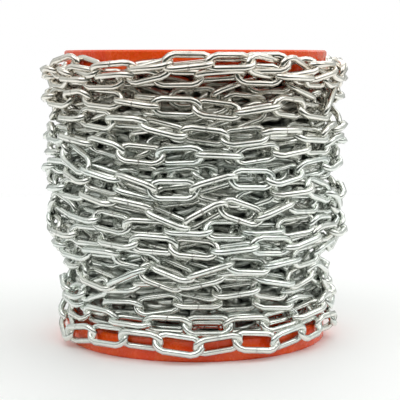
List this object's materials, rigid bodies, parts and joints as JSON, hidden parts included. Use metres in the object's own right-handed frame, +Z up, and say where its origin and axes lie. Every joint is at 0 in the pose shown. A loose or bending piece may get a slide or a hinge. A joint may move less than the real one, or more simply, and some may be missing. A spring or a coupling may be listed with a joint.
{
  "type": "reel of steel chain",
  "caption": "Reel wound over-full with bright zinc-plated long-link steel chain: a ribbed plastic flange at each end of a core tube, with an axle bore right through.",
  "frame": {"origin": "on the floor under the reel's axis, in the plane of the bottom flange's rim", "axes": "+Z up along the reel's axis, +X to the right and -Y towards the viewer as in the picture"},
  "size_m": [0.294, 0.294, 0.27],
  "materials": {
    "orange_plastic": "moulded orange plastic, satin gloss, with faint flow lines",
    "zinc_steel": "bright zinc plate on drawn steel wire, with weld seams and rub marks"
  },
  "bodies": {
    "root": {"bottom_flange": "orange_plastic", "top_flange": "orange_plastic", "core_tube": "orange_plastic", "inner_windings": "zinc_steel", "chain_turn_01": "zinc_steel", "chain_turn_02": "zinc_steel", "chain_turn_03": "zinc_steel", "chain_turn_04": "zinc_steel", "chain_turn_05": "zinc_steel", "chain_turn_06": "zinc_steel", "chain_turn_07": "zinc_steel", "chain_turn_08": "zinc_steel", "chain_turn_09": "zinc_steel", "chain_turn_10": "zinc_steel", "chain_turn_11": "zinc_steel", "chain_turn_12": "zinc_steel", "chain_turn_13": "zinc_steel"}
  },
  "joints": []
}
